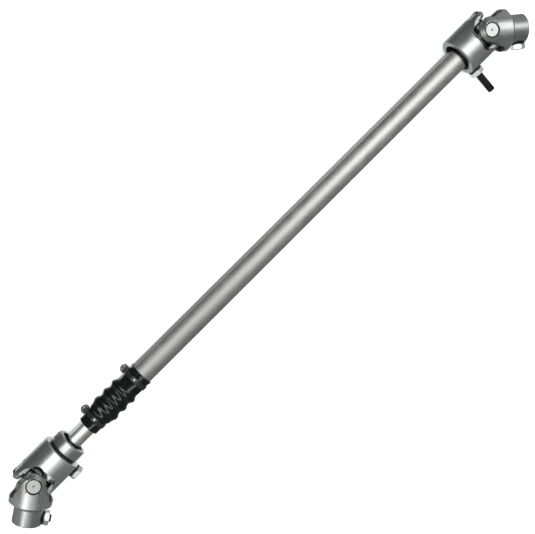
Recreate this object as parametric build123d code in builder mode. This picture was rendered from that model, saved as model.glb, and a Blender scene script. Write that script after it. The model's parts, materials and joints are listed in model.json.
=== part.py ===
from build123d import *
import math
import os

# Telescoping double-D steering shaft with a needle-bearing universal joint at
# each end. The shaft lies along X (upper end at +X) on a table at Z = 0. Both
# joints are bent in the XY plane toward -Y, to their stops. Lengths in mm.

os.makedirs("parts", exist_ok=True)

# ---- shaft stations along X, before centring -------------------------------
lower_pin_x = -299.7  # centre of the lower joint's cross
upper_pin_x = 317.1  # centre of the upper joint's cross
lower_bend = 34.4  # degrees
upper_bend = 36.8
tube_end_x = -170.0  # lower end of the outer tube, inside the boot
shaft_inner_x = -20.0  # end of the inner shaft, inside the tube

# ---- yokes -----------------------------------------------------------------
yoke_r = 20.6
ear_tip = 11.2  # from the pin centre
ear_half = 10.9  # half width of an ear
swing_r = 17.0  # round pocket beside the ears, clear of the mating ears' tips
tip_chamfer = 3.6  # round the ear's outer edge, depth along the pins
tip_chamfer_run = 3.7  # and toward the pin centre
slot_half = 12.9
relief_r = 9.9  # inner corner relief round the pins, at the slot's wall
relief_end = 14.9  # and where it meets the outline
slot_depth_edge = 17.1  # slot floor at the yoke's outside
slot_depth_mid = 22.0  # and on the yoke's axis
slot_corner = 7.2
face_z = 37.0  # pin centre to the big yoke's face
end_shoulder = 22.9  # pin centre to the end of the large diameter
end_cone = 26.8
end_edge = 0.7  # broken edge of the large diameter
end_hub_r = 14.3
end_length = 42.9
hub_chamfer = 0.9
mouth_sink = 2.4  # countersink round the shafts where they enter

# ---- cross and bearing cups ------------------------------------------------
cup_r = 7.15
cup_face = 19.5
cup_inner_end = 11.5
cup_wall = 0.8
needle_r = 0.78
needle_count = 18
trunnion_r = 4.75
trunnion_end = 17.5
arm_r = 6.6
arm_end = 10.2

# ---- double-D sections -----------------------------------------------------
tube_r = 12.7
tube_flat = 10.16
tube_in_r = 9.58
tube_in_flat = 7.04
shaft_r = 9.525
shaft_flat = 6.985

# ---- clamp screws (5/16-18) ------------------------------------------------
screw_r = 3.95
hole_r = 4.0
nut_flats = 12.7
nut_height = 4.76
washer_r = 6.9
washer_t = 1.0
screw_from_face = 6.2
end_screw_z = 36.1
long_screw_out = 27.8  # stands this far out of the yoke

# ---- vibration isolator in the lower yoke ----------------------------------
sleeve_r = 16.0
sleeve_in = 14.7
spigot_r = 11.6
isolator_floor = 24.6
rubber_proud = 2.5
rubber_ring_r = 15.0
hub_r = 15.65
hub_out = 13.2  # hub's outer face from the yoke's face
spline_minor = 9.15
spline_major = 9.62
spline_teeth = 36
spline_end = 22.6  # inner end of the serrations, from the pin centre


def reach(bend):
    c, s = math.cos(math.radians(bend)), math.sin(math.radians(bend))
    return end_length * c + (end_hub_r - hub_chamfer) * s


# the part's box is centred on the origin in X and Y
x_low = lower_pin_x - reach(lower_bend)
x_high = upper_pin_x + reach(upper_bend)
y_low = -(yoke_r + long_screw_out)
y_high = yoke_r
dx = -(x_low + x_high) / 2
dy = -(y_low + y_high) / 2
dz = yoke_r

lower_pin = Vector(lower_pin_x + dx, dy, dz)
upper_pin = Vector(upper_pin_x + dx, dy, dz)
bl = math.radians(lower_bend)
bu = math.radians(upper_bend)

# Yoke frames: origin on the pin centre, z toward the hub, x along the pins.
lower_main = Plane(origin=lower_pin, x_dir=(0, 1, 0), z_dir=(1, 0, 0))
upper_main = Plane(origin=upper_pin, x_dir=(0, 1, 0), z_dir=(-1, 0, 0))
lower_end = Plane(
    origin=lower_pin, x_dir=(0, 0, 1), z_dir=(-math.cos(bl), -math.sin(bl), 0)
)
upper_end = Plane(
    origin=upper_pin, x_dir=(0, 0, 1), z_dir=(math.cos(bu), -math.sin(bu), 0)
)


def pin_section(f):
    # local (x, z): the plane that holds the pins and the yoke's axis
    return Plane(origin=f.origin, x_dir=f.x_dir, z_dir=-f.y_dir)


def ear_view(f):
    # local (y, z): seen along the pins
    return Plane(origin=f.origin, x_dir=f.y_dir, z_dir=f.x_dir)


def along(f, z):
    # local (x, y) at a height z
    return Plane(origin=f.origin + f.z_dir * z, x_dir=f.x_dir, z_dir=f.z_dir)


def across(f, d):
    # square to the pins, at a distance d along them
    return Plane(origin=f.origin + f.x_dir * d, x_dir=f.z_dir, z_dir=f.x_dir)


def screw_side(f, d, z):
    # square to the clamp screw, at a distance d from the yoke's axis
    out = Vector(0, -1, 0)
    if abs(f.x_dir.Z) > 0.5:
        out = f.y_dir if f.y_dir.Y < 0 else -f.y_dir
    return Plane(origin=f.origin + f.z_dir * z + out * d, x_dir=f.z_dir, z_dir=out)


def slot_cutter(f):
    h = slot_depth_mid - slot_depth_edge
    rho = (yoke_r**2 + h**2) / (2 * h)
    low = slot_depth_mid - rho
    w = yoke_r + 2
    edge = low + math.sqrt(rho**2 - w**2)
    with BuildPart() as cutter:
        with BuildSketch(ear_view(f)):
            with BuildLine():
                Line((-w, edge), (-w, -20))
                Line((-w, -20), (w, -20))
                Line((w, -20), (w, edge))
                ThreePointArc((w, edge), (0, slot_depth_mid), (-w, edge))
            make_face()
        extrude(amount=slot_half, both=True)
        floor_edges = [
            e
            for e in cutter.edges()
            if e.geom_type == GeomType.CIRCLE and e.length > yoke_r
        ]
        fillet(floor_edges, radius=slot_corner)
    return cutter


def ear_outline(f, back):
    # outline seen along the pins, with the tips rounded about them
    tip_z = -math.sqrt(ear_tip**2 - ear_half**2)
    with BuildSketch(ear_view(f)) as outline:
        with BuildLine():
            Polyline(
                (-ear_half, tip_z),
                (-ear_half, 0),
                (-yoke_r - 1, 0),
                (-yoke_r - 1, back),
                (yoke_r + 1, back),
                (yoke_r + 1, 0),
                (ear_half, 0),
                (ear_half, tip_z),
            )
            ThreePointArc((ear_half, tip_z), (0, -ear_tip), (-ear_half, tip_z))
        make_face()
    return outline


def yoke_blank(f, profile, back):
    cutter = slot_cutter(f)
    outline = ear_outline(f, back)
    with BuildPart() as yoke:
        with BuildSketch(pin_section(f)):
            with BuildLine():
                Polyline(*profile, close=True)
            make_face()
        revolve(axis=Axis(f.origin, f.z_dir))
        extrude(outline.sketch, amount=30, both=True, mode=Mode.INTERSECT)
        add(cutter.part, mode=Mode.SUBTRACT)
        # round pockets that leave flat flanks on the ears
        for side in (1, -1):
            with BuildSketch(
                Plane(
                    origin=f.origin + f.y_dir * (side * ear_half),
                    x_dir=f.x_dir,
                    z_dir=f.y_dir * side,
                )
            ):
                Circle(swing_r)
            extrude(amount=20, mode=Mode.SUBTRACT)
        # relief on the ears' inner corners, round the pins, for the mating ears
        for side in (1, -1):
            for turn in (1, -1):
                with BuildSketch(pin_section(f)):
                    with BuildLine():
                        Polyline(
                            (side * (slot_half - 0.3), -relief_r),
                            (side * relief_end, -ear_tip - 0.05),
                            (side * relief_end, -ear_tip - 4),
                            (side * (slot_half - 0.3), -ear_tip - 4),
                            close=True,
                        )
                    make_face()
                revolve(
                    axis=Axis(f.origin, f.x_dir * turn),
                    revolution_arc=95,
                    mode=Mode.SUBTRACT,
                )
        # chamfer on the ears' outer edge, round the pins
        for side in (1, -1):
            for turn in (1, -1):
                with BuildSketch(pin_section(f)):
                    with BuildLine():
                        Polyline(
                            (side * (yoke_r - tip_chamfer), -ear_tip - 0.02),
                            (
                                side * (yoke_r + 1),
                                -ear_tip + tip_chamfer_run * (1 + 1 / tip_chamfer),
                            ),
                            (side * (yoke_r + 1), -ear_tip - 4),
                            (side * (yoke_r - tip_chamfer), -ear_tip - 4),
                            close=True,
                        )
                    make_face()
                revolve(
                    axis=Axis(f.origin, f.x_dir * turn),
                    revolution_arc=95,
                    mode=Mode.SUBTRACT,
                )
        # bearing bores through both ears
        with BuildSketch(across(f, 0)):
            Circle(cup_r + 0.01)
        extrude(amount=30, both=True, mode=Mode.SUBTRACT)
        # relief ring and stake marks around each cup
        for side in (1, -1):
            with BuildSketch(across(f, side * 18.6)):
                Circle(cup_r + 0.42)
            extrude(amount=side * 4, mode=Mode.SUBTRACT)
            with BuildSketch(across(f, side * 19.05)):
                with PolarLocations(8.35, 4, start_angle=45):
                    Rectangle(2.1, 0.6)
            extrude(amount=side * 4, mode=Mode.SUBTRACT)
    return yoke


tip_profile = [
    (0, -ear_tip),
    (yoke_r, -ear_tip),
]
big_profile = tip_profile + [
    (yoke_r, face_z - hub_chamfer),
    (yoke_r - hub_chamfer, face_z),
    (0, face_z),
]
end_profile = tip_profile + [
    (yoke_r, end_shoulder - end_edge),
    (yoke_r - end_edge, end_shoulder),
    (end_hub_r, end_cone),
    (end_hub_r, end_length - hub_chamfer),
    (end_hub_r - hub_chamfer, end_length),
    (0, end_length),
]


def end_yoke(f):
    blank = yoke_blank(f, end_profile, end_length + 1)
    with BuildPart() as yoke:
        add(blank.part)
        # serrated bore
        with BuildSketch(along(f, end_length + 1)):
            Circle(spline_minor)
            with PolarLocations(spline_minor - 0.05, spline_teeth):
                Polygon(
                    (0, -0.55),
                    (0.05 + spline_major - spline_minor, 0),
                    (0, 0.55),
                    align=None,
                )
        extrude(amount=-40, mode=Mode.SUBTRACT)
        # run-out behind the serrations, open to the slot
        with BuildSketch(along(f, spline_end)):
            Circle(spline_major + 0.7)
        extrude(amount=-8, mode=Mode.SUBTRACT)
        # lead-in at the mouth
        with BuildSketch(along(f, end_length)):
            Circle(spline_major + 0.5)
        extrude(amount=-1.2, taper=20, mode=Mode.SUBTRACT)
        with BuildSketch(screw_side(f, 0, end_screw_z)):
            Circle(hole_r)
        extrude(amount=30, mode=Mode.SUBTRACT)
    return yoke


def set_screw(f, z, tip, head):
    # runs from its cup point at radius tip to its socket end at radius head
    with BuildPart() as screw:
        with BuildSketch(screw_side(f, tip, z)):
            Circle(screw_r)
        extrude(amount=head - tip)
        chamfer(screw.faces().sort_by(Axis(f.origin, screw_side(f, 0, z).z_dir))[0].edges(), length=1.0)
        chamfer(screw.faces().sort_by(Axis(f.origin, screw_side(f, 0, z).z_dir))[-1].edges(), length=0.6)
        with BuildSketch(screw_side(f, tip, z)):
            Circle(1.9)
        extrude(amount=0.8, taper=30, mode=Mode.SUBTRACT)
        with BuildSketch(screw_side(f, head, z)):
            RegularPolygon(3.97 / 2, 6, major_radius=False)
        extrude(amount=-4.0, mode=Mode.SUBTRACT)
    return screw


def jam_nut(f, z, seat, turn=30):
    top = seat + nut_height
    corner = nut_flats / math.sqrt(3)
    drop = 0.6
    with BuildPart() as nut:
        with BuildSketch(screw_side(f, seat, z)):
            RegularPolygon(nut_flats / 2, 6, major_radius=False, rotation=turn)
        extrude(amount=nut_height)
        section = Plane(
            origin=f.origin + f.z_dir * z,
            x_dir=f.z_dir,
            z_dir=-screw_side(f, 0, z).y_dir,
        )
        with BuildSketch(section):
            with BuildLine():
                Polyline(
                    (0, seat),
                    (nut_flats / 2 - 0.2, seat),
                    (corner + 0.05, seat + drop),
                    (corner + 0.05, top - drop),
                    (nut_flats / 2 - 0.2, top),
                    (0, top),
                    close=True,
                )
            make_face()
        revolve(
            axis=Axis(f.origin + f.z_dir * z, screw_side(f, 0, z).z_dir),
            mode=Mode.INTERSECT,
        )
        with BuildSketch(screw_side(f, seat - 1, z)):
            Circle(hole_r)
        extrude(amount=nut_height + 2, mode=Mode.SUBTRACT)
        with BuildSketch(screw_side(f, top, z)):
            Circle(hole_r + 0.5)
        extrude(amount=-0.5, taper=45, mode=Mode.SUBTRACT)
    return nut


def lock_washer(f, z, seat):
    with BuildPart() as washer:
        with BuildSketch(screw_side(f, seat + 0.03, z)):
            Circle(washer_r)
            Circle(hole_r + 0.15, mode=Mode.SUBTRACT)
        extrude(amount=washer_t - 0.06)
    return washer


def spider(f, g):
    # arms along the pins of both yokes, trunnions beyond them
    with BuildPart() as cross:
        for a in (f, g):
            with BuildSketch(across(a, -arm_end)):
                Circle(arm_r)
            extrude(amount=2 * arm_end)
            with BuildSketch(across(a, -trunnion_end)):
                Circle(trunnion_r)
            extrude(amount=2 * trunnion_end)
        for a in (f, g):
            for side in (1, -1):
                with BuildSketch(across(a, side * trunnion_end)):
                    Circle(1.2)
                extrude(amount=-side * 1.5, taper=30, mode=Mode.SUBTRACT)
    return cross


def cups(f):
    with BuildPart() as pair:
        for side in (1, -1):
            with BuildSketch(
                Plane(origin=f.origin, x_dir=f.z_dir, z_dir=-f.x_dir.cross(f.z_dir))
            ):
                with BuildLine():
                    Polyline(
                        (0, side * (cup_face - 0.35)),
                        (0.45, side * (cup_face - 0.35)),
                        (1.15, side * cup_face),
                        (cup_r - 0.7, side * cup_face),
                        (cup_r, side * (cup_face - 0.7)),
                        (cup_r, side * (cup_inner_end + 0.4)),
                        (cup_r - 0.4, side * cup_inner_end),
                        (cup_r - cup_wall, side * cup_inner_end),
                        (cup_r - cup_wall, side * (trunnion_end + 0.3)),
                        (0, side * (trunnion_end + 0.3)),
                        close=True,
                    )
                make_face()
            revolve(axis=Axis(f.origin, f.x_dir))
    return pair


def needles(f):
    with BuildPart() as rollers:
        for side in (1, -1):
            with BuildSketch(across(f, side * (cup_inner_end + 0.9))):
                with PolarLocations((trunnion_r + cup_r - cup_wall) / 2, needle_count):
                    Circle(needle_r)
            extrude(amount=side * (trunnion_end - cup_inner_end - 1.2))
    return rollers


def seals(f):
    with BuildPart() as rings:
        for side in (1, -1):
            with BuildSketch(across(f, side * (arm_end + 0.1))):
                Circle(cup_r - 0.5)
                Circle(trunnion_r + 0.05, mode=Mode.SUBTRACT)
            extrude(amount=side * (cup_inner_end - arm_end - 0.2))
    return rings


def dd_face(r, flat):
    # flats face the sketch's x direction
    Circle(r)
    Rectangle(2 * flat, 4 * r, mode=Mode.INTERSECT)


# ---- outer tube ------------------------------------------------------------
tube_top = upper_pin_x - slot_depth_mid - 0.8
with BuildPart() as outer_tube:
    with BuildSketch(along(lower_main, tube_end_x - lower_pin_x)):
        dd_face(tube_r, tube_flat)
    extrude(amount=tube_top - tube_end_x)
    with BuildSketch(along(lower_main, tube_end_x - lower_pin_x - 1)):
        dd_face(tube_in_r, tube_in_flat)
    extrude(amount=tube_top - tube_end_x + 2, mode=Mode.SUBTRACT)
outer_tube.part.label = "outer_tube"
export_step(outer_tube.part, "parts/outer_tube.step")

# ---- inner shaft -----------------------------------------------------------
shaft_low = isolator_floor + 2.6  # from the lower pin
with BuildPart() as inner_shaft:
    with BuildSketch(along(lower_main, shaft_low)):
        dd_face(shaft_r, shaft_flat)
    extrude(amount=shaft_inner_x - lower_pin_x - shaft_low)
    chamfer(inner_shaft.faces().sort_by(Axis.X)[0].edges(), length=0.8)
    chamfer(inner_shaft.faces().sort_by(Axis.X)[-1].edges(), length=0.8)
inner_shaft.part.label = "inner_shaft"
export_step(inner_shaft.part, "parts/inner_shaft.step")

# ---- upper yoke ------------------------------------------------------------
blank = yoke_blank(upper_main, big_profile, face_z + 1)
with BuildPart() as upper_yoke:
    add(blank.part)
    with BuildSketch(along(upper_main, face_z + 1)):
        dd_face(tube_r + 0.05, tube_flat + 0.05)
    extrude(amount=-30, mode=Mode.SUBTRACT)
    with BuildSketch(along(upper_main, face_z + 1)):
        Circle(tube_r + 0.28)
    extrude(amount=-5.0, mode=Mode.SUBTRACT)
    with BuildSketch(along(upper_main, face_z)):
        Circle(tube_r + mouth_sink)
    extrude(amount=-mouth_sink, taper=45, mode=Mode.SUBTRACT)
    with BuildSketch(screw_side(upper_main, 0, face_z - screw_from_face)):
        Circle(hole_r)
    extrude(amount=30, mode=Mode.SUBTRACT)
upper_yoke.part.label = "upper_yoke"
export_step(upper_yoke.part, "parts/upper_yoke.step")

# ---- lower yoke, with the isolator's seat ----------------------------------
blank = yoke_blank(lower_main, big_profile, face_z + 1)
with BuildPart() as lower_yoke:
    add(blank.part)
    with BuildSketch(along(lower_main, isolator_floor)):
        Circle(sleeve_r + 0.01)
    extrude(amount=30, mode=Mode.SUBTRACT)
    with BuildSketch(screw_side(lower_main, 0, face_z - screw_from_face)):
        Circle(hole_r)
    extrude(amount=30, mode=Mode.SUBTRACT)
lower_yoke.part.label = "lower_yoke"
export_step(lower_yoke.part, "parts/lower_yoke.step")

# ---- isolator: steel sleeve, bonded rubber, hub ----------------------------
with BuildPart() as isolator_sleeve:
    with BuildSketch(along(lower_main, isolator_floor + 0.05)):
        Circle(sleeve_r)
        Circle(sleeve_in, mode=Mode.SUBTRACT)
    extrude(amount=face_z - isolator_floor - 0.4)
isolator_sleeve.part.label = "isolator_sleeve"
export_step(isolator_sleeve.part, "parts/isolator_sleeve.step")

with BuildPart() as isolator_rubber:
    with BuildSketch(pin_section(lower_main)):
        with BuildLine():
            Polyline(
                (spigot_r + 0.01, isolator_floor + 1.2),
                (sleeve_in - 0.01, isolator_floor + 1.2),
                (sleeve_in - 0.01, face_z - 0.3),
                (rubber_ring_r, face_z - 0.3),
                (rubber_ring_r, face_z + rubber_proud - 0.01),
                (spigot_r + 0.01, face_z + rubber_proud - 0.01),
                close=True,
            )
        make_face()
    revolve(axis=Axis(lower_main.origin, lower_main.z_dir))
isolator_rubber.part.label = "isolator_rubber"
export_step(isolator_rubber.part, "parts/isolator_rubber.step")

hub_screw_z = face_z + 8.0
with BuildPart() as isolator_hub:
    with BuildSketch(along(lower_main, isolator_floor + 1.6)):
        Circle(spigot_r)
    extrude(amount=face_z + hub_out - isolator_floor - 1.6)
    with BuildSketch(along(lower_main, face_z + rubber_proud)):
        Circle(hub_r)
    extrude(amount=hub_out - rubber_proud)
    chamfer(isolator_hub.faces().sort_by(Axis.X)[-1].edges(), length=1.0)
    with BuildSketch(along(lower_main, isolator_floor)):
        dd_face(shaft_r + 0.03, shaft_flat + 0.03)
    extrude(amount=40, mode=Mode.SUBTRACT)
    with BuildSketch(along(lower_main, face_z + hub_out)):
        Circle(shaft_r + 0.2)
    extrude(amount=-2.5, mode=Mode.SUBTRACT)
    with BuildSketch(along(lower_main, face_z + hub_out)):
        Circle(shaft_r + mouth_sink)
    extrude(amount=-mouth_sink, taper=45, mode=Mode.SUBTRACT)
    with BuildSketch(
        Plane(
            origin=lower_main.origin + lower_main.z_dir * hub_screw_z,
            x_dir=(1, 0, 0),
            z_dir=(0, 1, 0),
        )
    ):
        Circle(hole_r)
    extrude(amount=30, mode=Mode.SUBTRACT)
isolator_hub.part.label = "isolator_hub"
export_step(isolator_hub.part, "parts/isolator_hub.step")

hub_seat = Plane(
    origin=lower_main.origin + lower_main.z_dir * hub_screw_z + Vector(0, shaft_flat + 0.02, 0),
    x_dir=(1, 0, 0),
    z_dir=(0, 1, 0),
)
with BuildPart() as hub_set_screw:
    with BuildSketch(hub_seat):
        Circle(screw_r)
    extrude(amount=6.2)
    chamfer(hub_set_screw.faces().sort_by(Axis.Y)[0].edges(), length=0.8)
    chamfer(hub_set_screw.faces().sort_by(Axis.Y)[-1].edges(), length=0.5)
    with BuildSketch(hub_seat.offset(6.2)):
        RegularPolygon(3.97 / 2, 6, major_radius=False)
    extrude(amount=-3.2, mode=Mode.SUBTRACT)
hub_set_screw.part.label = "hub_set_screw"
export_step(hub_set_screw.part, "parts/hub_set_screw.step")

# ---- end yokes -------------------------------------------------------------
lower_end_yoke = end_yoke(lower_end)
lower_end_yoke.part.label = "lower_end_yoke"
export_step(lower_end_yoke.part, "parts/lower_end_yoke.step")

upper_end_yoke = end_yoke(upper_end)
upper_end_yoke.part.label = "upper_end_yoke"
export_step(upper_end_yoke.part, "parts/upper_end_yoke.step")

# ---- clamp screws, nuts and lock washers -----------------------------------
main_z = face_z - screw_from_face

upper_set_screw = set_screw(
    upper_main, main_z, tube_flat + 0.02, yoke_r + long_screw_out
)
upper_set_screw.part.label = "upper_set_screw"
export_step(upper_set_screw.part, "parts/upper_set_screw.step")
upper_jam_nut = jam_nut(upper_main, main_z, yoke_r + washer_t)
upper_jam_nut.part.label = "upper_jam_nut"
export_step(upper_jam_nut.part, "parts/upper_jam_nut.step")
upper_lock_washer = lock_washer(upper_main, main_z, yoke_r)
upper_lock_washer.part.label = "upper_lock_washer"
export_step(upper_lock_washer.part, "parts/upper_lock_washer.step")

lower_set_screw = set_screw(
    lower_main, main_z, sleeve_r + 0.05, yoke_r + washer_t + nut_height
)
lower_set_screw.part.label = "lower_set_screw"
export_step(lower_set_screw.part, "parts/lower_set_screw.step")
lower_jam_nut = jam_nut(lower_main, main_z, yoke_r + washer_t, turn=0)
lower_jam_nut.part.label = "lower_jam_nut"
export_step(lower_jam_nut.part, "parts/lower_jam_nut.step")
lower_lock_washer = lock_washer(lower_main, main_z, yoke_r)
lower_lock_washer.part.label = "lower_lock_washer"
export_step(lower_lock_washer.part, "parts/lower_lock_washer.step")

lower_end_set_screw = set_screw(
    lower_end, end_screw_z, spline_major + 0.15, end_hub_r + washer_t + nut_height + 1.8
)
lower_end_set_screw.part.label = "lower_end_set_screw"
export_step(lower_end_set_screw.part, "parts/lower_end_set_screw.step")
lower_end_jam_nut = jam_nut(lower_end, end_screw_z, end_hub_r + washer_t)
lower_end_jam_nut.part.label = "lower_end_jam_nut"
export_step(lower_end_jam_nut.part, "parts/lower_end_jam_nut.step")
lower_end_lock_washer = lock_washer(lower_end, end_screw_z, end_hub_r)
lower_end_lock_washer.part.label = "lower_end_lock_washer"
export_step(lower_end_lock_washer.part, "parts/lower_end_lock_washer.step")

upper_end_set_screw = set_screw(
    upper_end, end_screw_z, spline_major + 0.15, end_hub_r + washer_t + nut_height + 0.2
)
upper_end_set_screw.part.label = "upper_end_set_screw"
export_step(upper_end_set_screw.part, "parts/upper_end_set_screw.step")
upper_end_jam_nut = jam_nut(upper_end, end_screw_z, end_hub_r + washer_t)
upper_end_jam_nut.part.label = "upper_end_jam_nut"
export_step(upper_end_jam_nut.part, "parts/upper_end_jam_nut.step")
upper_end_lock_washer = lock_washer(upper_end, end_screw_z, end_hub_r)
upper_end_lock_washer.part.label = "upper_end_lock_washer"
export_step(upper_end_lock_washer.part, "parts/upper_end_lock_washer.step")

# ---- crosses ---------------------------------------------------------------
upper_spider = spider(upper_main, upper_end)
upper_spider.part.label = "upper_spider"
export_step(upper_spider.part, "parts/upper_spider.step")
lower_spider = spider(lower_main, lower_end)
lower_spider.part.label = "lower_spider"
export_step(lower_spider.part, "parts/lower_spider.step")

# ---- bearing cups, needles and seals ---------------------------------------
upper_yoke_cups = cups(upper_main)
upper_yoke_cups.part.label = "upper_yoke_cups"
export_step(upper_yoke_cups.part, "parts/upper_yoke_cups.step")
upper_end_cups = cups(upper_end)
upper_end_cups.part.label = "upper_end_cups"
export_step(upper_end_cups.part, "parts/upper_end_cups.step")
lower_yoke_cups = cups(lower_main)
lower_yoke_cups.part.label = "lower_yoke_cups"
export_step(lower_yoke_cups.part, "parts/lower_yoke_cups.step")
lower_end_cups = cups(lower_end)
lower_end_cups.part.label = "lower_end_cups"
export_step(lower_end_cups.part, "parts/lower_end_cups.step")

upper_yoke_needles = needles(upper_main)
upper_yoke_needles.part.label = "upper_yoke_needles"
export_step(upper_yoke_needles.part, "parts/upper_yoke_needles.step")
upper_end_needles = needles(upper_end)
upper_end_needles.part.label = "upper_end_needles"
export_step(upper_end_needles.part, "parts/upper_end_needles.step")
lower_yoke_needles = needles(lower_main)
lower_yoke_needles.part.label = "lower_yoke_needles"
export_step(lower_yoke_needles.part, "parts/lower_yoke_needles.step")
lower_end_needles = needles(lower_end)
lower_end_needles.part.label = "lower_end_needles"
export_step(lower_end_needles.part, "parts/lower_end_needles.step")

upper_yoke_seals = seals(upper_main)
upper_yoke_seals.part.label = "upper_yoke_seals"
export_step(upper_yoke_seals.part, "parts/upper_yoke_seals.step")
upper_end_seals = seals(upper_end)
upper_end_seals.part.label = "upper_end_seals"
export_step(upper_end_seals.part, "parts/upper_end_seals.step")
lower_yoke_seals = seals(lower_main)
lower_yoke_seals.part.label = "lower_yoke_seals"
export_step(lower_yoke_seals.part, "parts/lower_yoke_seals.step")
lower_end_seals = seals(lower_end)
lower_end_seals.part.label = "lower_end_seals"
export_step(lower_end_seals.part, "parts/lower_end_seals.step")

# ---- rubber boot over the telescoping joint --------------------------------
def from_pin(x):
    return x - lower_pin_x


boot_low = from_pin(-229.2)
boot_high = from_pin(-157.6)
taper_start = from_pin(-215.5)
cuff_start = from_pin(-177.7)
peaks = [from_pin(-204.4), from_pin(-193.2), from_pin(-181.9)]
peak_r = 14.7
valley_r = 11.7
boot_wall = 1.0
low_cuff_r = 10.6
high_cuff_r = 13.75
outer = [(low_cuff_r, boot_low), (low_cuff_r, taper_start)]
inner = [(low_cuff_r - boot_wall, boot_low), (low_cuff_r - boot_wall, taper_start + 0.6)]
for i, z in enumerate(peaks):
    outer.append((peak_r, z))
    inner.append((peak_r - 1.25, z))
    if i < len(peaks) - 1:
        mid = (z + peaks[i + 1]) / 2
        outer.append((valley_r + 0.3, mid))
        inner.append((valley_r - 0.95, mid))
outer.append((valley_r + 1.5, cuff_start))
inner.append((valley_r + 0.5, cuff_start))
with BuildPart() as boot:
    with BuildSketch(pin_section(lower_main)):
        with BuildLine():
            Polyline(*(outer + inner[::-1]), close=True)
        make_face()
    revolve(axis=Axis(lower_main.origin, lower_main.z_dir))
    with BuildSketch(along(lower_main, cuff_start)):
        dd_face(high_cuff_r, tube_flat + 1.15)
        Circle(12.2, mode=Mode.SUBTRACT)
    extrude(amount=from_pin(tube_end_x) - 0.4 - cuff_start)
    with BuildSketch(along(lower_main, from_pin(tube_end_x) - 0.4)):
        dd_face(high_cuff_r, tube_flat + 1.15)
        with BuildSketch(mode=Mode.PRIVATE) as core:
            Circle(tube_r + 0.05)
            Rectangle(2 * tube_flat + 0.1, 4 * tube_r, mode=Mode.INTERSECT)
        add(core.sketch, mode=Mode.SUBTRACT)
    extrude(amount=boot_high - from_pin(tube_end_x) + 0.4)
boot.part.label = "boot"
export_step(boot.part, "parts/boot.step")

# ---- cable ties on the boot ------------------------------------------------
tie_w = 4.8
tie_t = 1.25
with BuildPart() as lower_tie:
    with BuildSketch(along(lower_main, from_pin(-218.8) - tie_w / 2)):
        Circle(low_cuff_r + tie_t)
        Circle(low_cuff_r + 0.03, mode=Mode.SUBTRACT)
    extrude(amount=tie_w)
    with BuildSketch(
        Plane(
            origin=lower_main.origin
            + lower_main.z_dir * from_pin(-218.8)
            + Vector(0, low_cuff_r + 0.5, 0),
            x_dir=(1, 0, 0),
            z_dir=(0, 1, 0),
        )
    ):
        Rectangle(8.6, 6.4)
    extrude(amount=6.8)
lower_tie.part.label = "lower_tie"
export_step(lower_tie.part, "parts/lower_tie.step")

with BuildPart() as upper_tie:
    with BuildSketch(along(lower_main, from_pin(-165.7) - tie_w / 2)):
        Circle(high_cuff_r + tie_t)
        Rectangle(2 * (tube_flat + 1.15 + tie_t), 40, mode=Mode.INTERSECT)
        with BuildSketch(mode=Mode.PRIVATE) as core:
            Circle(high_cuff_r + 0.03)
            Rectangle(2 * (tube_flat + 1.18), 40, mode=Mode.INTERSECT)
        add(core.sketch, mode=Mode.SUBTRACT)
    extrude(amount=tie_w)
    with BuildSketch(
        Plane(
            origin=lower_main.origin
            + lower_main.z_dir * from_pin(-165.7)
            + Vector(0, tube_flat + 1.6, 0),
            x_dir=(1, 0, 0),
            z_dir=(0, 1, 0),
        )
    ):
        Rectangle(8.6, 6.4)
    extrude(amount=6.6)
upper_tie.part.label = "upper_tie"
export_step(upper_tie.part, "parts/upper_tie.step")
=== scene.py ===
import bpy
import bmesh
import json
import math
import random
from mathutils import Vector, Matrix


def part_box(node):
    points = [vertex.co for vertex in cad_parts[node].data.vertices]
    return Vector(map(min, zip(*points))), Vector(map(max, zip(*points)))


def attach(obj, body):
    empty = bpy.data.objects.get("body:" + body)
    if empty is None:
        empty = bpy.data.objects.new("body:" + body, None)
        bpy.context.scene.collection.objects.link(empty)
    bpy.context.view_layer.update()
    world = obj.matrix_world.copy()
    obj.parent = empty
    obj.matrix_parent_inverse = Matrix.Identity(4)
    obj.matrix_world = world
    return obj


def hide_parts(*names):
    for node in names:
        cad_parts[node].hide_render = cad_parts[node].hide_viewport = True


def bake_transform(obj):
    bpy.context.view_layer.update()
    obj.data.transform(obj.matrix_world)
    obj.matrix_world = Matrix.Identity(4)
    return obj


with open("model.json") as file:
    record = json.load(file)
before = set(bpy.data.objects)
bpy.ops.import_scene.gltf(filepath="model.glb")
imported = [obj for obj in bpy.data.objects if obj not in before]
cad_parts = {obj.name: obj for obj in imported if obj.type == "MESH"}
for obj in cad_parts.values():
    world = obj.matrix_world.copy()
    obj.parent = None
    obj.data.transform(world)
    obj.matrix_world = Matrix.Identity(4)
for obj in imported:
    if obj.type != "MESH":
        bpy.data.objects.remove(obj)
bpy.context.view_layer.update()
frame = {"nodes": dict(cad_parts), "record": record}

MM = 0.001

# ---------------------------------------------------------------- positions
lo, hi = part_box("lower_spider")
LP = (lo + hi) / 2
lo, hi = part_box("upper_spider")
UP = (lo + hi) / 2
AX = Vector((0, LP.y, LP.z))  # the shaft's axis passes through this point


def axis_point(x):
    return Vector((x, AX.y, AX.z))


def mid(node):
    a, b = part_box(node)
    return (a + b) / 2


# ---------------------------------------------------------------- materials
def new_mat(name):
    m = bpy.data.materials.new(name)
    m.use_nodes = True
    nt = m.node_tree
    for n in list(nt.nodes):
        nt.nodes.remove(n)
    out = nt.nodes.new("ShaderNodeOutputMaterial")
    bsdf = nt.nodes.new("ShaderNodeBsdfPrincipled")
    nt.links.new(bsdf.outputs["BSDF"], out.inputs["Surface"])
    return m, nt, bsdf


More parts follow.
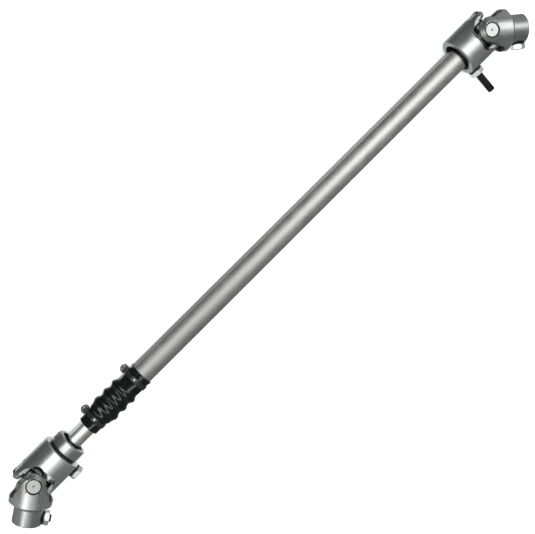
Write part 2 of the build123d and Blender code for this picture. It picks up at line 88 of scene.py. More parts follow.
def coords(nt, scale=(1, 1, 1), rot=(0, 0, 0)):
    tc = nt.nodes.new("ShaderNodeTexCoord")
    mp = nt.nodes.new("ShaderNodeMapping")
    mp.inputs["Scale"].default_value = scale
    mp.inputs["Rotation"].default_value = rot
    nt.links.new(tc.outputs["Object"], mp.inputs["Vector"])
    return mp.outputs["Vector"]


def noise(nt, vec, scale, detail=3.0, rough=0.5, dist=0.0):
    n = nt.nodes.new("ShaderNodeTexNoise")
    n.inputs["Scale"].default_value = scale
    n.inputs["Detail"].default_value = detail
    n.inputs["Roughness"].default_value = rough
    n.inputs["Distortion"].default_value = dist
    nt.links.new(vec, n.inputs["Vector"])
    return n.outputs["Fac"]


def remap(nt, val, a, b, c, d):
    n = nt.nodes.new("ShaderNodeMapRange")
    n.inputs["From Min"].default_value = a
    n.inputs["From Max"].default_value = b
    n.inputs["To Min"].default_value = c
    n.inputs["To Max"].default_value = d
    nt.links.new(val, n.inputs["Value"])
    return n.outputs["Result"]


def math_node(nt, op, a, b):
    n = nt.nodes.new("ShaderNodeMath")
    n.operation = op
    for i, v in enumerate((a, b)):
        if isinstance(v, (int, float)):
            n.inputs[i].default_value = v
        else:
            nt.links.new(v, n.inputs[i])
    return n.outputs[0]


def mix_col(nt, fac, c1, c2):
    n = nt.nodes.new("ShaderNodeMix")
    n.data_type = "RGBA"
    for k, v in (("A", c1), ("B", c2)):
        sock = [s for s in n.inputs if s.name == k and s.type == "RGBA"][0]
        if isinstance(v, tuple):
            sock.default_value = (*v, 1)
        else:
            nt.links.new(v, sock)
    fsock = [s for s in n.inputs if s.name == "Factor" and s.type == "VALUE"][0]
    if isinstance(fac, (int, float)):
        fsock.default_value = fac
    else:
        nt.links.new(fac, fsock)
    return [s for s in n.outputs if s.type == "RGBA"][0]


def bump(nt, bsdf, height, strength, distance):
    b = nt.nodes.new("ShaderNodeBump")
    b.inputs["Strength"].default_value = strength
    b.inputs["Distance"].default_value = distance
    nt.links.new(height, b.inputs["Height"])
    nt.links.new(b.outputs["Normal"], bsdf.inputs["Normal"])


def from_line(nt, point, axis):
    """Distance in mm from a line through `point` along `axis`."""
    tc = nt.nodes.new("ShaderNodeTexCoord")
    sub = nt.nodes.new("ShaderNodeVectorMath")
    sub.operation = "SUBTRACT"
    sub.inputs[1].default_value = point
    nt.links.new(tc.outputs["Object"], sub.inputs[0])
    cr = nt.nodes.new("ShaderNodeVectorMath")
    cr.operation = "CROSS_PRODUCT"
    cr.inputs[1].default_value = axis
    nt.links.new(sub.outputs[0], cr.inputs[0])
    ln = nt.nodes.new("ShaderNodeVectorMath")
    ln.operation = "LENGTH"
    nt.links.new(cr.outputs[0], ln.inputs[0])
    return math_node(nt, "MULTIPLY", ln.outputs["Value"], 1000.0)


def along_line(nt, point, axis):
    """Distance in mm from `point` along `axis`."""
    tc = nt.nodes.new("ShaderNodeTexCoord")
    sub = nt.nodes.new("ShaderNodeVectorMath")
    sub.operation = "SUBTRACT"
    sub.inputs[1].default_value = point
    nt.links.new(tc.outputs["Object"], sub.inputs[0])
    dt = nt.nodes.new("ShaderNodeVectorMath")
    dt.operation = "DOT_PRODUCT"
    dt.inputs[1].default_value = axis
    nt.links.new(sub.outputs[0], dt.inputs[0])
    return math_node(nt, "MULTIPLY", dt.outputs["Value"], 1000.0)


def band(nt, val, a, b, soft):
    """1 between a and b, falling off over `soft` outside."""
    return math_node(nt, "MULTIPLY", remap(nt, val, a - soft, a, 0.0, 1.0), remap(nt, val, b, b + soft, 1.0, 0.0))


def steel(name, col, col2, rough, rspread, streak, grain, spots=0.0, edge=0.0, scale=1.0, shade_bands=(), fade=None, pocket=None, stake_shade=None):
    """Satin metal: streaks stretched by `streak` (x, y, z scales), fine grain, soft blotches and bright worn edges."""
    m, nt, b = new_mat(name)
    b.inputs["Metallic"].default_value = 1.0
    sv = coords(nt, streak)
    pv = coords(nt)
    st = noise(nt, sv, 900 * scale, 4, 0.6)
    bl = noise(nt, pv, 110 * scale, 5, 0.62, 0.4)
    fine = noise(nt, pv, 2600 * scale, 2, 0.5)
    f = math_node(nt, "MULTIPLY", remap(nt, bl, 0.35, 0.68, 0.0, 1.0), 0.6)
    f2 = math_node(nt, "MULTIPLY", remap(nt, st, 0.3, 0.7, 0.0, 1.0), 0.4)
    fac = math_node(nt, "ADD", f, f2)
    c = mix_col(nt, fac, col, col2)
    if spots:
        sp = noise(nt, pv, 420 * scale, 3, 0.55)
        dark = tuple(v * 0.55 for v in col)
        c = mix_col(nt, math_node(nt, "MULTIPLY", remap(nt, sp, 0.60, 0.74, 0.0, 1.0), spots), c, dark)
    if edge:
        g = nt.nodes.new("ShaderNodeNewGeometry")
        e = remap(nt, g.outputs["Pointiness"], 0.53, 0.62, 0.0, edge)
        c = mix_col(nt, e, c, tuple(min(1, v * 1.6) for v in col2))
    # painted shade: near-black bands round a line, in mouths, recesses and round cups: (point, axis, (r0, r1), (h0,
    # h1), soft, depth)
    for point, axis, rr, hh, soft, depth in shade_bands:
        k = band(nt, from_line(nt, point, axis), rr[0], rr[1], soft)
        if hh:
            k = math_node(nt, "MULTIPLY", k, band(nt, along_line(nt, point, axis), hh[0], hh[1], soft))
        k = math_node(nt, "MULTIPLY", k, remap(nt, bl, 0.3, 0.6, depth * 0.85, depth))
        c = mix_col(nt, k, c, (0.012, 0.014, 0.013))
    if fade:
        point, axis, h0, h1, dr, dk = fade
        c = mix_col(nt, remap(nt, along_line(nt, point, axis), h0, h1, dk, 0.0), c, (0.05, 0.05, 0.05))
    if stake_shade:
        # painted shade in the stake marks round a cup
        point, axis, across = stake_shade
        ring_ = band(nt, from_line(nt, point, axis), 7.6, 9.45, 0.15)
        for v in across:
            k = math_node(nt, "MULTIPLY", ring_, band(nt, along_line(nt, point, v), -0.36, 0.36, 0.12))
            c = mix_col(nt, math_node(nt, "MULTIPLY", k, 0.93), c, (0.02, 0.022, 0.021))
    if pocket:
        # the shaded floor of a yoke's slot: away from the pins and below the outside
        k = math_node(nt, "MULTIPLY", band(nt, from_line(nt, *pocket), 15.9, 29.5, 0.6),
                      band(nt, from_line(nt, axis_point(0), X1), -1.0, 20.1, 0.25))
        k = math_node(nt, "MULTIPLY", k, remap(nt, bl, 0.3, 0.6, 0.93, 0.98))
        c = mix_col(nt, k, c, (0.012, 0.014, 0.013))
    nt.links.new(c, b.inputs["Base Color"])
    r = math_node(nt, "ADD", remap(nt, bl, 0.3, 0.7, rough - rspread, rough + rspread),
                  remap(nt, fine, 0.3, 0.7, -rspread * 0.5, rspread * 0.5))
    if fade:
        # duller towards one end: (point, axis, h0, h1, extra roughness at h0)
        point, axis, h0, h1, dr, dk = fade
        r = math_node(nt, "ADD", r, remap(nt, along_line(nt, point, axis), h0, h1, dr, 0.0))
    nt.links.new(r, b.inputs["Roughness"])
    h = math_node(nt, "ADD", math_node(nt, "MULTIPLY", st, 0.6), math_node(nt, "MULTIPLY", fine, 0.4))
    bump(nt, b, h, grain, 0.00006)
    return m


X1 = Vector((1, 0, 0))
Y1 = Vector((0, 1, 0))
Z1 = Vector((0, 0, 1))
UY_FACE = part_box("upper_yoke")[0].x
LY_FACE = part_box("lower_yoke")[1].x
HUB_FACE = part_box("isolator_hub")[1].x
YOKE = ((0.36, 0.378, 0.370), (0.46, 0.478, 0.468), 0.34, 0.05, (1, 0.25, 0.25), 0.4)
# painted shade: the tube is darkened inside the upper yoke's mouth and for 2.3 mm out of it
m_tube = steel("tube_steel", (0.50, 0.50, 0.49), (0.68, 0.68, 0.665), 0.47, 0.05, (0.03, 1, 1), 0.35, spots=0.3,
               fade=(axis_point(UY_FACE), X1, -340, -120, 0.10, 0.26),
               shade_bands=[(axis_point(UY_FACE), X1, (0, 20), (-2.3, 40), 0.9, 0.97)])
# painted shade: the shaft is darkened inside the hub and for 1.5 mm out of it
m_shaft = steel("shaft_steel", (0.60, 0.60, 0.59), (0.76, 0.76, 0.74), 0.36, 0.05, (0.03, 1, 1), 0.25,
                shade_bands=[(axis_point(HUB_FACE), X1, (0, 20), (-60, 1.5), 0.7, 0.97)])
PINS = {"upper_yoke": (UP, Y1), "lower_yoke": (LP, Y1), "upper_end_yoke": (UP, Z1), "lower_end_yoke": (LP, Z1)}
m_yokes = {}
for n, (P, a) in PINS.items():
    # painted shade in the relief ring round each cup
    shade_list = [(P, a, (6.9, 7.62), None, 0.2, 0.9)]
    sl_ = "end" not in n
    if n == "upper_yoke":
        # painted shade inside the upper yoke's bore mouth
        shade_list.append((axis_point(UY_FACE), X1, (0, 15.0), (-1, 12), 0.5, 0.97))
    if "end" in n:
        q_ = mid(n.replace("yoke", "jam_nut")) - mid(n.replace("yoke", "lock_washer"))
        u_ = Vector((q_.x, q_.y, 0)).normalized()
    else:
        u_ = X1
    w_ = a.cross(u_).normalized()
    marks = (P, a, [(u_ + w_).normalized(), (u_ - w_).normalized()])
    y_ = list(YOKE)
    if n == "upper_yoke":
        y_[2] = 0.40
    # painted light: the lower yoke and lower end yoke get brighter copies of the yoke colour to lift their highlights;
    # their roughness is lower too
    if n == "lower_yoke":
        y_[0], y_[1], y_[2] = (0.405, 0.422, 0.413), (0.52, 0.538, 0.527), 0.33
    if n == "lower_end_yoke":
        y_[0], y_[1], y_[2] = (0.43, 0.445, 0.435), (0.55, 0.565, 0.55), 0.32
    m_yokes[n] = steel("yoke_steel_" + n, *y_, spots=0.35, edge=0.7, shade_bands=shade_list, pocket=(P, Y1) if sl_ else None, stake_shade=marks)
# painted shade in the hub's mouth round the shaft
m_hub = steel("yoke_steel_hub", *YOKE, spots=0.3, edge=0.7, shade_bands=[(axis_point(HUB_FACE), X1, (0, 11.8), (-12, 1), 0.4, 0.97)])
m_cups = {}
# painted shade round each cup's rim; the cup's centre is darkened too
for n, (P, a) in PINS.items():
    m_cups[n.replace("_yoke", "_cups") if "end" in n else n + "_cups"] = steel(
        "ground_steel_" + n, *(((0.52, 0.52, 0.505), (0.65, 0.65, 0.63)) if "lower" in n else ((0.56, 0.56, 0.54), (0.69, 0.69, 0.67))), 0.42, 0.05, (0.2, 1, 1), 0.2, spots=0.35, edge=0.3,
        shade_bands=[(P, a, (6.45, 9.0), None, 0.25, 0.93), (P, a, (0.0, 0.95), None, 0.5, 0.45)])
m_nut = steel("zinc_plate", (0.74, 0.75, 0.76), (0.90, 0.91, 0.92), 0.30, 0.06, (1, 1, 1), 0.25, edge=0.5)
# painted shade: a darker copy of the zinc, also rougher, for the lower end yoke's nut
m_nut_dull_shaded = steel("zinc_plate_dull_shaded", (0.44, 0.455, 0.45), (0.60, 0.615, 0.61), 0.42, 0.06, (1, 1, 1), 0.25, edge=0.5)
m_cross = steel("bearing_steel", (0.30, 0.30, 0.30), (0.45, 0.45, 0.44), 0.40, 0.08, (1, 1, 1), 0.3, spots=0.3, edge=0.5)


def dark_metal(name):
    m, nt, b = new_mat(name)
    pv = coords(nt)
    n1 = noise(nt, pv, 500, 4, 0.6)
    g = nt.nodes.new("ShaderNodeNewGeometry")
    e = remap(nt, g.outputs["Pointiness"], 0.52, 0.66, 0.0, 0.5)
    c = mix_col(nt, remap(nt, n1, 0.35, 0.65, 0, 1), (0.008, 0.008, 0.009), (0.022, 0.022, 0.024))
    c = mix_col(nt, e, c, (0.11, 0.11, 0.11))
    nt.links.new(c, b.inputs["Base Color"])
    b.inputs["Metallic"].default_value = 0.55
    nt.links.new(remap(nt, n1, 0.3, 0.7, 0.36, 0.52), b.inputs["Roughness"])
    bump(nt, b, noise(nt, pv, 2200, 3, 0.6), 0.25, 0.00005)
    return m


def rubber(name, col, rough, spec=0.5, wrinkle=0.0):
    m, nt, b = new_mat(name)
    pv = coords(nt)
    n1 = noise(nt, pv, 260, 4, 0.6)
    n2 = noise(nt, pv, 1900, 2, 0.5)
    c = mix_col(nt, remap(nt, n1, 0.35, 0.7, 0, 1), col, tuple(v * 1.8 + 0.0012 for v in col))
    nt.links.new(c, b.inputs["Base Color"])
    nt.links.new(remap(nt, n1, 0.3, 0.7, rough - 0.05, rough + 0.07), b.inputs["Roughness"])
    b.inputs["Specular IOR Level"].default_value = spec
    h = math_node(nt, "ADD", math_node(nt, "MULTIPLY", n1, 0.8), math_node(nt, "MULTIPLY", n2, 0.2))
    bump(nt, b, h, 0.2, 0.00013)
    return m


m_black = dark_metal("black_oxide")
m_boot = rubber("boot_rubber", (0.0015, 0.0024, 0.0020), 0.19, 0.30)
m_rubber = rubber("black_rubber", (0.006, 0.006, 0.006), 0.6, 0.4)
m_tie = rubber("tie_nylon", (0.006, 0.006, 0.0065), 0.16, 0.5)


def paint(node, mat):
    o = frame["nodes"][node]
    if not o.material_slots:
        o.data.materials.append(mat)
    for s in o.material_slots:
        s.material = mat


for n, m_ in m_yokes.items():
    paint(n, m_)
paint("isolator_hub", m_hub)
paint("outer_tube", m_tube)
paint("inner_shaft", m_shaft)
paint("isolator_sleeve", m_cross)
for s in ("upper", "lower"):
    paint(s + "_spider", m_cross)
    for k in ("yoke", "end"):
        paint(f"{s}_{k}_cups", m_cups[f"{s}_{k}_cups"])
        paint(f"{s}_{k}_needles", m_cross)
    paint(s + "_jam_nut", m_nut)
    # the lower end nut gets the darker, painted-shade copy of the zinc
    paint(s + "_end_jam_nut", m_nut if s == "upper" else m_nut_dull_shaded)
    paint(s + "_lock_washer", m_black)
    paint(s + "_end_lock_washer", m_black)


# ---------------------------------------------------------------- mesh tools
def mesh_object(name, verts, faces, mat, smooth=True):
    me = bpy.data.meshes.new(name)
    me.from_pydata([tuple(v) for v in verts], [], faces)
    me.materials.append(mat)
    me.validate()
    bm = bmesh.new()
    bm.from_mesh(me)
    bmesh.ops.recalc_face_normals(bm, faces=bm.faces)
    bm.to_mesh(me)
    bm.free()
    o = bpy.data.objects.new(name, me)
    bpy.context.scene.collection.objects.link(o)
    if smooth:
        for p in me.polygons:
            p.use_smooth = True
        sharp(o, 38)
    return o


def sharp(o, degrees):
    bm = bmesh.new()
    bm.from_mesh(o.data)
    for e in bm.edges:
        if len(e.link_faces) == 2 and e.calc_face_angle(0) > math.radians(degrees):
            e.smooth = False
    bm.to_mesh(o.data)
    bm.free()


def loop_grid(rings, closed_v=False):
    """Faces for a list of equal rings; closed_v joins the last ring to the first."""
    n = len(rings[0])
    verts = [p for r in rings for p in r]
    faces = []
    m = len(rings)
    for i in range(m if closed_v else m - 1):
        j = (i + 1) % m
        for k in range(n):
            l = (k + 1) % n
            faces.append((i * n + k, i * n + l, j * n + l, j * n + k))
    return verts, faces


# ---------------------------------------------------------------- set screws
def screw(name, node, body, out_dir, tip, length, gap=0.0):
    """A threaded set screw: cup point at `tip`, hex socket at the outer end."""
    z = Vector(out_dir).normalized()
    x = z.orthogonal().normalized()
    y = z.cross(x)
    pitch, r1, r0 = 1.411 * MM, 3.93 * MM, 3.26 * MM
    n = 40
    rows = int(length / (pitch / 10))
    rings = []

    def ring(fr, h, f=None):
        out = []
        for k in range(n):
            a = 2 * math.pi * k / n
            r = fr(a)
            out.append(tip + x * (r * math.cos(a)) + y * (r * math.sin(a)) + z * h)
        return out

    # cup point
    rings.append(ring(lambda a: 0.02 * MM, 0.9 * MM))
    rings.append(ring(lambda a: 1.7 * MM, 0.02 * MM))
    rings.append(ring(lambda a: 2.3 * MM, 0.0))
    for i in range(rows + 1):
        h = length * i / rows
        def fr(a, h=h):
            ph = (h / pitch - a / (2 * math.pi)) % 1.0
            t = min(1.0, max(0.0, (abs(ph - 0.5) * 2 - 0.12) / 0.72))
            r = r1 + (r0 - r1) * t
            lim = 2.6 * MM + h * 1.1
            lim2 = 3.1 * MM + (length - h) * 1.2
            return min(r, lim, lim2)
        rings.append(ring(fr, h))
    # hex socket
    def hexr(a, r=1.98 * MM):
        b = (a + math.pi / 6) % (math.pi / 3) - math.pi / 6
        return r / math.cos(b)
    rings.append(ring(lambda a: 2.6 * MM, length))
    rings.append(ring(lambda a: hexr(a) + 0.12 * MM, length))
    rings.append(ring(lambda a: hexr(a), length - 0.15 * MM))
    rings.append(ring(lambda a: hexr(a), length - 3.6 * MM))
    rings.append(ring(lambda a: 0.02 * MM, length - 4.2 * MM))
    v, f = loop_grid(rings)
    o = mesh_object(name, v, f, m_black)
    sharp(o, 30)
    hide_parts(node)
    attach(o, body)
    return o


def end_dir(pin, node):
    """Middle of `node`'s bounding box."""
    c = mid(node)
    return c


bodies_of = {}
for b, ns in frame["record"]["behaviour"]["bodies"].items():
    for n in ns:
        bodies_of[n] = b


def screw_from_node(name, node, out_dir, trim=0.0):
    # the screw's two ends, read from the CAD solid's points along out_dir
    z = Vector(out_dir).normalized()
    pts = [v.co.copy() for v in frame["nodes"][node].data.vertices]
    hs = [p.dot(z) for p in pts]
    lo_, hi_ = min(hs), max(hs)
    c = sum(pts, Vector()) / len(pts)
    # centre line: use the box middle across the axis
    u = z.orthogonal().normalized()
    w = z.cross(u)
    cu = (min(p.dot(u) for p in pts) + max(p.dot(u) for p in pts)) / 2
    cw = (min(p.dot(w) for p in pts) + max(p.dot(w) for p in pts)) / 2
    tip = u * cu + w * cw + z * lo_
    return screw(name, node, bodies_of[node], z, tip, hi_ - lo_)


def jam_nut_axis(node_nut):
    return mid(node_nut)


down = Vector((0, -1, 0))
screw_from_node("upper_screw_threaded", "upper_set_screw", down)
screw_from_node("lower_screw_threaded", "lower_set_screw", down)
screw_from_node("hub_screw_threaded", "hub_set_screw", Vector((0, 1, 0)))
for s, P, sg in (("upper", UP, 1), ("lower", LP, -1)):
    c1 = mid(s + "_end_cups")
    lo_, hi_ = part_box(s + "_end_lock_washer")
    # the end yoke's axis is square to the line from the washer to the nut
    nut = mid(s + "_end_jam_nut")
    wsh = mid(s + "_end_lock_washer")
    d = (nut - wsh)
    d.z = 0
    screw_from_node(s + "_end_screw_threaded", s + "_end_set_screw", d)


# ---------------------------------------------------------------- rubber boot
bx0, bx1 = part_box("boot")
X_LOW, X_HIGH = bx0.x, bx1.x
b0 = X_LOW  # -229.2 in the shaft's own stations


def st(x):  # station along the shaft, mm, to frame metres
    return X_LOW + (x + 229.2) * MM


def dd_radius(a, r, flat):
    """Radius of a double-D outline at angle a from +Y, its corners eased."""
    c = abs(math.cos(a))
    f = flat / max(c, 1e-4)
    k = 14.0
    return (r ** -k + f ** -k) ** (-1.0 / k)


def smooth(t):
    t = max(0.0, min(1.0, t))
    return t * t * (3 - 2 * t)


def boot():
    n = 192
    taper, cuff = -215.3, -177.4
    peaks = [(-204.4, 14.95), (-193.2, 15.0), (-181.9, 15.0)]
    valleys = [(-198.9, 11.5), (-187.6, 11.5)]
    key = [(-229.2, 10.3), (-228.4, 10.6), (-221.6, 10.55), (-220.6, 10.35), (-217.0, 10.35), (taper, 10.75)]
    prof = []

    def corner(p0, p1, p2, rad):
        # rounded corner between two straight flanks
        a = Vector(p0) - Vector(p1)
        c = Vector(p2) - Vector(p1)
        la, lc = a.length, c.length
        a.normalize()
        c.normalize()
        d = min(rad, la * 0.45, lc * 0.45)
        s = Vector(p1) + a * d
        e = Vector(p1) + c * d
        out = []
        for i in range(11):
            t = i / 10
            q = s * (1 - t) ** 2 + Vector(p1) * 2 * t * (1 - t) + e * t * t
            out.append((q.x, q.y))
        return out

    zig = [(-216.0, 10.55), (-212.9, 12.35), (-210.3, 12.5), peaks[0], valleys[0], peaks[1], valleys[1], peaks[2], (-178.2, 12.7), (-174.0, 13.35)]
    path = [(-229.2, 10.0), (-228.9, 10.45), (-228.2, 10.6), (-222.0, 10.6), (-221.2, 10.4), (-216.5, 10.4), (-216.0, 10.6)]
    for i in range(1, len(zig) - 1):
        rad = 2.4 if zig[i] in peaks else 2.6
        path += corner(zig[i - 1], zig[i], zig[i + 1], rad)
    path += [(-174.0, 13.3), (-171.0, 13.5), (-168.6, 13.6), (-168.0, 13.45), (-163.2, 13.45), (-162.6, 13.65),
             (-160.0, 13.75), (-158.4, 13.9), (-157.8, 13.8), (-157.6, 13.5)]
    # finer steps along the straight runs
    fine = []
    for (xa, ra), (xb, rb) in zip(path, path[1:]):
        step = 0.4 if xa > -164.0 else 0.9
        k = max(1, int(abs(xb - xa) / step + abs(rb - ra) / step))
        for i in range(k):
            t = i / k
            fine.append((xa + (xb - xa) * t, ra + (rb - ra) * t))
    fine.append(path[-1])
    rnd = random.Random(4)
    ph = [rnd.uniform(0, 6.283) for _ in range(8)]
    rings = []

    def ring(x, r, inner):
        out = []
        w = smooth((x + 181.0) / 7.0)
        for k in range(n):
            a = 2 * math.pi * k / n  # from +Y towards +Z
            rr = r
            flat = 11.65 if not inner else 10.2
            big = r if not inner else r
            rd = dd_radius(a, big, flat - (13.6 - r) * 0.5 if not inner else flat)
            rr = r * (1 - w) + rd * w
            if not inner:
                # gathered rubber either side of the upper tie
                g = math.exp(-((x + 165.6) / 5.2) ** 2) * smooth((abs(x + 165.6) - 2.0) / 1.4)
                rr += 0.30 * g * math.sin(9 * a + ph[0] + 0.35 * x) * (0.6 + 0.4 * math.sin(3 * a + ph[1]))
                # flared, slightly wavy mouth
                m2 = smooth((x + 161.0) / 3.4)
                rr += m2 * (0.25 + 0.22 * math.sin(2 * a + ph[2]) + 0.1 * math.sin(5 * a + ph[3]))
                # two creases that cross over the tube's corner
                th = 90.0 - math.degrees(a)
                for xa_, ta_, xb_, tb_ in ((-163.0, 54.0, -158.3, 19.0), (-157.9, 62.0, -162.0, 23.0)):
                    ux, ut = xb_ - xa_, (tb_ - ta_) * 0.236
                    px, pt = x - xa_, (th - ta_) * 0.236
                    q = max(0.0, min(1.0, (px * ux + pt * ut) / (ux * ux + ut * ut)))
                    dd = math.hypot(px - q * ux, pt - q * ut)
                    rr += 0.42 * math.exp(-(dd / 0.62) ** 2) * (1.0 - 0.5 * q)
                rr += 0.05 * math.sin(3 * a + ph[4]) * smooth((x + 214) / 10)
            out.append((st(x), AX.y + rr * MM * math.cos(a), AX.z + rr * MM * math.sin(a)))
        return out

    for x, r in fine:
        rings.append(ring(x, r, False))
    # inside skin, back to the start
    back = [(-157.75, 12.95), (-158.2, 12.78), (-169.5, 12.78), (-170.6, 12.75), (-176.0, 12.3), (-178.6, 11.9),
            (peaks[2][0], 13.5), (valleys[1][0], 10.8), (peaks[1][0], 13.5), (valleys[0][0], 10.8),
            (peaks[0][0], 13.5), (-215.0, 9.75), (-228.8, 9.62), (-229.1, 9.75)]
    for x, r in back:
        rings.append(ring(x, r, True))
    v, f = loop_grid(rings, closed_v=True)
    o = mesh_object("boot_bellows", v, f, m_boot)
    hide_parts("boot")
    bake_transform(o)
    return o


boot_piece = boot()


# ---------------------------------------------------------------- cable ties
def rounded_box(c, size, bev, top_taper=0.0):
    sx, sy, sz = (s / 2 for s in size)
    bm = bmesh.new()
    bmesh.ops.create_cube(bm, size=1.0)
    for v in bm.verts:
        v.co.x *= 2 * sx
        v.co.y *= 2 * sy
        v.co.z *= 2 * sz
        if v.co.y > 0:
            v.co.x *= 1 - top_taper
            v.co.z *= 1 - top_taper
    bmesh.ops.bevel(bm, geom=list(bm.edges), offset=bev, segments=3, affect="EDGES", profile=0.6)
    for v in bm.verts:
        v.co += Vector(c)
    bm.verts.ensure_lookup_table()
    verts = [v.co.copy() for v in bm.verts]
    faces = [tuple(l.vert.index for l in fc.loops) for fc in bm.faces]
    bm.free()
    return verts, faces


def tie(name, node, body, x, radius, flat):
    """A nylon cable tie: strap, locking head, and the trimmed tail."""
    n = 144
    half = 2.35 * MM
    t = 1.15 * MM
    verts, faces = [], []
    sect = [(-half, 0.12), (-half + 0.25 * MM, 0.0), (half - 0.25 * MM, 0.0), (half, 0.12),
            (half, 0.8), (half - 0.35 * MM, 1.0), (-half + 0.35 * MM, 1.0), (-half, 0.8)]
    rings = []
    for k in range(n):
        a = 2 * math.pi * k / n
        r = dd_radius(a, radius, flat) if flat else radius
        rings.append([Vector((x + px, AX.y + (r * MM + q * t) * math.cos(a), AX.z + (r * MM + q * t) * math.sin(a)))
                      for px, q in sect])
    v, f = loop_grid(rings, closed_v=True)
    verts += v
    faces += f
    base = AX.y + (flat or radius) * MM

    def put(vs, fs):
        k = len(verts)
        verts.extend(vs)
        faces.extend(tuple(i + k for i in fc) for fc in fs)

    # head: body, raised rim, pawl, and the cut tail
    put(*rounded_box((x, base + 3.5 * MM, AX.z + 0.2 * MM), (8.3 * MM, 4.8 * MM, 6.2 * MM), 0.7 * MM, 0.04))
    put(*rounded_box((x, base + 1.3 * MM, AX.z + 0.2 * MM), (5.6 * MM, 2.4 * MM, 6.0 * MM), 0.5 * MM))
    put(*rounded_box((x, base + 6.1 * MM, AX.z + 0.9 * MM), (6.0 * MM, 0.9 * MM, 3.6 * MM), 0.3 * MM, 0.06))
    put(*rounded_box((x, base + 6.9 * MM, AX.z + 0.9 * MM), (4.5 * MM, 1.3 * MM, 1.25 * MM), 0.18 * MM))
    put(*rounded_box((x, base + 3.5 * MM, AX.z + 3.35 * MM), (4.9 * MM, 3.6 * MM, 0.5 * MM), 0.18 * MM))
    o = mesh_object(name, verts, faces, m_tie)
    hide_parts(node)
    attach(o, body)
    return o


tie_a = tie("lower_cable_tie", "lower_tie", "inner", st(-218.8), 10.45, None)
tie_b = tie("upper_cable_tie", "upper_tie", "outer", st(-165.6), 13.5, 11.62)


# ---------------------------------------------------------------- isolator rubber and seals
def lathe(name, node, body, centre, axis, prof, mat, n=96, wave=0.0):
    """Closed ring of revolution from (height, radius) points in mm."""
    z = Vector(axis).normalized()
    x = z.orthogonal().normalized()
    y = z.cross(x)
    rings = []
    for h, r in prof:
        rings.append([centre + z * (h * MM) + (x * math.cos(2 * math.pi * k / n) + y * math.sin(2 * math.pi * k / n))
                      * (r + (wave * math.sin(7 * 2 * math.pi * k / n) if r > 14 else 0)) * MM for k in range(n)])
    v, f = loop_grid(rings, closed_v=True)
    o = mesh_object(name, v, f, mat)
    if node:
        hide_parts(node)
    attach(o, body)
    return o


lo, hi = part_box("isolator_rubber")
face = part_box("lower_yoke")[1].x
lathe("isolator_rubber_ring", "isolator_rubber", "lower_housing", Vector((face, AX.y, AX.z)), (1, 0, 0),
      [(-11.0, 11.7), (-11.0, 14.6), (-0.4, 14.65), (0.02, 14.8), (0.3, 14.55), (0.9, 14.3), (1.6, 14.3), (2.2, 14.6),
       (2.45, 14.8), (2.45, 11.7)], m_rubber, wave=0.03)

for s, P in (("upper", UP), ("lower", LP)):
    for k, body in (("yoke", "outer" if s == "upper" else "lower_housing"), ("end", s + "_end")):
        ax = Vector((0, 1, 0)) if k == "yoke" else Vector((0, 0, 1))
        node = f"{s}_{k}_seals"
        objs = []
        for sd in (1, -1):
            o = lathe(f"{s}_{k}_seal_{'a' if sd > 0 else 'b'}", node, body, P, ax * sd,
                      [(10.35, 4.9), (10.35, 5.9), (10.6, 6.45), (10.95, 6.55), (11.2, 6.3), (11.35, 5.8), (11.35, 4.9)],
                      m_rubber, n=48)

# ---------------------------------------------------------------- floor, lights, camera
bpy.ops.mesh.primitive_plane_add(size=12, location=(0, 0, -0.0004))
floor = bpy.context.object
floor.name = "floor"
mf, nt, b = new_mat("floor_white")
b.inputs["Base Color"].default_value = (0.62, 0.62, 0.62, 1)
b.inputs["Roughness"].default_value = 0.9
b.inputs["Specular IOR Level"].default_value = 0.0
b.inputs["Emission Color"].default_value = (1, 1, 1, 1)
b.inputs["Emission Strength"].default_value = 0.5
floor.data.materials.append(mf)
floor.visible_glossy = False

world = bpy.data.worlds.new("studio")
bpy.context.scene.world = world
world.use_nodes = True
wn = world.node_tree
for n in list(wn.nodes):
    wn.nodes.remove(n)
wo = wn.nodes.new("ShaderNodeOutputWorld")
tc = wn.nodes.new("ShaderNodeTexCoord")
sep = wn.nodes.new("ShaderNodeSeparateXYZ")
wn.links.new(tc.outputs["Generated"], sep.inputs[0])
side = remap(wn, sep.outputs["Y"], -1.0, 1.0, 0.22, 0.13)
ends = remap(wn, math_node(wn, "ABSOLUTE", sep.outputs["X"], 0.0), 0.6, 0.95, 0.0, 0.30)
below = remap(wn, sep.outputs["Z"], -1.0, -0.70, 1.0, 0.0)
total = math_node(wn, "ADD", math_node(wn, "ADD", side, ends), below)
bg1 = wn.nodes.new("ShaderNodeBackground")
wn.links.new(total, bg1.inputs["Strength"])
bg1.inputs["Color"].default_value = (0.96, 1.0, 0.99, 1)
bg2 = wn.nodes.new("ShaderNodeBackground")
bg2.inputs["Color"].default_value = (1, 1, 1, 1)
bg2.inputs["Strength"].default_value = 1.0
lp = wn.nodes.new("ShaderNodeLightPath")
mx = wn.nodes.new("ShaderNodeMixShader")
mxf = wn.nodes.new("ShaderNodeMath")
mxf.operation = "MAXIMUM"
wn.links.new(lp.outputs["Is Camera Ray"], mxf.inputs[0])
wn.links.new(lp.outputs["Is Diffuse Ray"], mxf.inputs[1])
wn.links.new(mxf.outputs[0], mx.inputs[0])
wn.links.new(bg1.outputs[0], mx.inputs[1])
wn.links.new(bg2.outputs[0], mx.inputs[2])
wn.links.new(mx.outputs[0], wo.inputs[0])


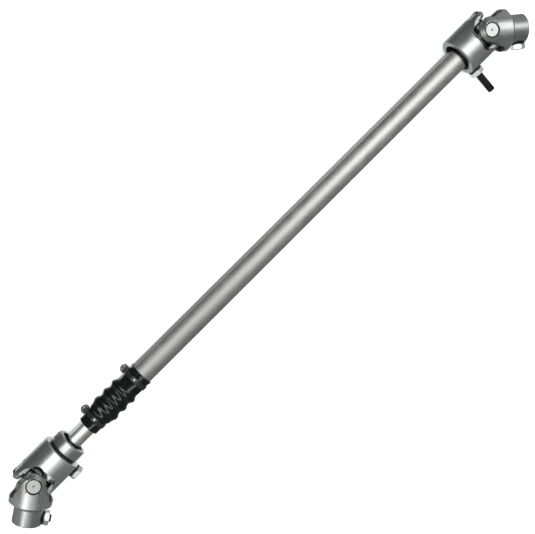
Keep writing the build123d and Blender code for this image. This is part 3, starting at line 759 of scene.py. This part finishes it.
def area(name, loc, target, sx, sy, power, glossy=True, spread=180, roll=0.0):
    l = bpy.data.lights.new(name, "AREA")
    l.shape = "RECTANGLE"
    l.size, l.size_y = sx, sy
    l.energy = power
    l.spread = math.radians(spread)
    o = bpy.data.objects.new(name, l)
    bpy.context.scene.collection.objects.link(o)
    o.location = loc
    d = Vector(target) - Vector(loc)
    o.rotation_euler = d.to_track_quat("-Z", "Y").to_euler()
    # the long side runs along the shaft
    zax = -d.normalized()
    xax = Vector((1, 0, 0))
    xax = (xax - zax * xax.dot(zax)).normalized()
    xax = Matrix.Rotation(math.radians(roll), 3, zax) @ xax
    yax = zax.cross(xax)
    o.rotation_euler = Matrix((xax, yax, zax)).transposed().to_euler()
    o.visible_glossy = glossy
    return o


key = area("key", (0.05, 0.24, 1.10), (0.05, AX.y, 0), 2.7, 0.86, 15.6, roll=-9)
area("fill_low", (0.0, -0.36, 1.06), (0, AX.y, 0), 2.5, 0.42, 1.3)


# glints on the rubber and nylon: two thin slanting strips and one small lamp
def only(light, *objs, state="INCLUDE"):
    c = bpy.data.collections.new(light.name + "_set")
    for o in objs:
        c.objects.link(o)
    for k in c.collection_objects:
        k.light_linking.link_state = state
    light.light_linking.receiver_collection = c


def strip(name, p0, p1, target, width, power):
    p0, p1 = Vector(p0), Vector(p1)
    c = (p0 + p1) / 2
    l = bpy.data.lights.new(name, "AREA")
    l.shape = "RECTANGLE"
    l.size, l.size_y = (p1 - p0).length, width
    l.energy = power
    o = bpy.data.objects.new(name, l)
    bpy.context.scene.collection.objects.link(o)
    xax = (p1 - p0).normalized()
    zax = c - Vector(target)
    zax = (zax - xax * zax.dot(xax)).normalized()
    yax = zax.cross(xax)
    o.matrix_world = Matrix.Translation(c) @ Matrix((xax, yax, zax)).transposed().to_4x4()
    o.visible_camera = False
    return o


BC = axis_point(st(-193))
for k, sg in enumerate((1, -1)):
    o = strip(f"strip_{k}", BC + Vector((0, -0.50, 0.86)), BC + Vector((0.86 * sg, 0.62, 0.18)), BC, 0.045, 4.6)
    only(o, boot_piece)
o = strip("glint", BC + Vector((-0.30, 0.25, 1.05)), BC + Vector((0.12, 0.25, 1.05)), BC, 0.035, 9.0)
only(o, tie_a, tie_b)
only(key, boot_piece, state="EXCLUDE")

# camera: the shaft's own directions in the camera's view
F_PX, W_PX = 875.0, 535.0
D0, G, TAU, TC = 0.850, math.radians(3.6), math.radians(13.7), 13.9
R, U, W = Vector((1, 0, 0)), Vector((0, 1, 0)), Vector((0, 0, -1))  # right, up, into the scene
es = R * 0.7077 + U * 0.7065
et = R * 0.7065 - U * 0.7077
Xc = es * math.cos(G) + W * math.sin(G)
wp = (W - Xc * W.dot(Xc)).normalized()
e = (et - Xc * et.dot(Xc))
e = (e - wp * e.dot(wp)).normalized()
Yc = -e * math.cos(TAU) - wp * math.sin(TAU)
Zc = -wp * math.cos(TAU) + e * math.sin(TAU)
Oc = W * D0 - et * (TC / F_PX * D0)
# rows of M: camera coordinates of world directions, so world -> camera is M
M = Matrix((Xc, Yc, Zc)).transposed()
x_cross = LP.x + 299.7 * MM
target = Vector((x_cross, AX.y, AX.z))
cam_loc = target - M.transposed() @ Oc
cam = bpy.data.cameras.new("camera")
co = bpy.data.objects.new("camera", cam)
bpy.context.scene.collection.objects.link(co)
co.matrix_world = Matrix.Translation(cam_loc) @ M.transposed().to_4x4()
cam.sensor_width = 36
cam.lens = F_PX / W_PX * 36
cam.clip_start = 0.01
cam.clip_end = 50
bpy.context.scene.camera = co
bpy.context.scene.view_settings.view_transform = "Standard"
bpy.context.scene.view_settings.look = "None"
